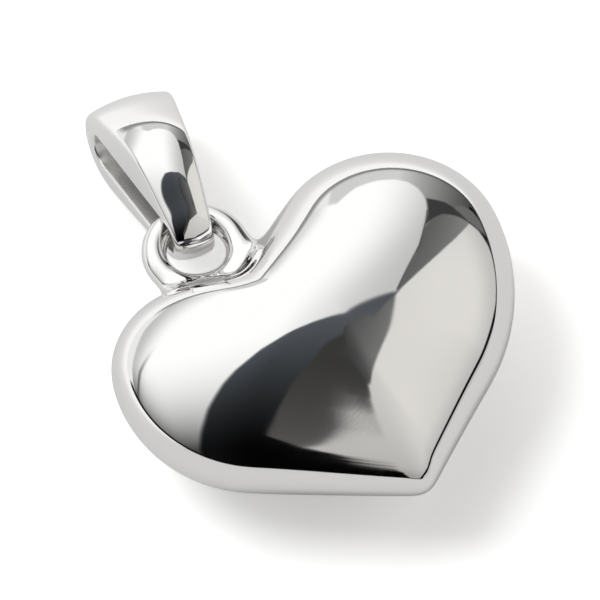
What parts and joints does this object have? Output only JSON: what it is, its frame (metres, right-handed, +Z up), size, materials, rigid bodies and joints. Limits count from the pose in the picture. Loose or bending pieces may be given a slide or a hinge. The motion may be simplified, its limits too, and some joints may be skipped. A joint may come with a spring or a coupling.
{
  "type": "heart pendant",
  "caption": "Puffed lopsided heart pendant in polished silver, with a ring soldered on beside its cleft and a tapered bail for a chain, lying on its back.",
  "frame": {"origin": "on the surface that the pendant lies on, under the middle of its outer box", "axes": "+Z up out of the heart's front, +Y from the heart's tip towards the ring and bail, +X towards the larger lobe"},
  "size_m": [0.0196, 0.0256, 0.0082],
  "materials": {
    "heart_silver": "high polish silver",
    "bail_silver": "high polish silver"
  },
  "bodies": {
    "root": {"heart": "heart_silver", "bail": "bail_silver"}
  },
  "joints": []
}
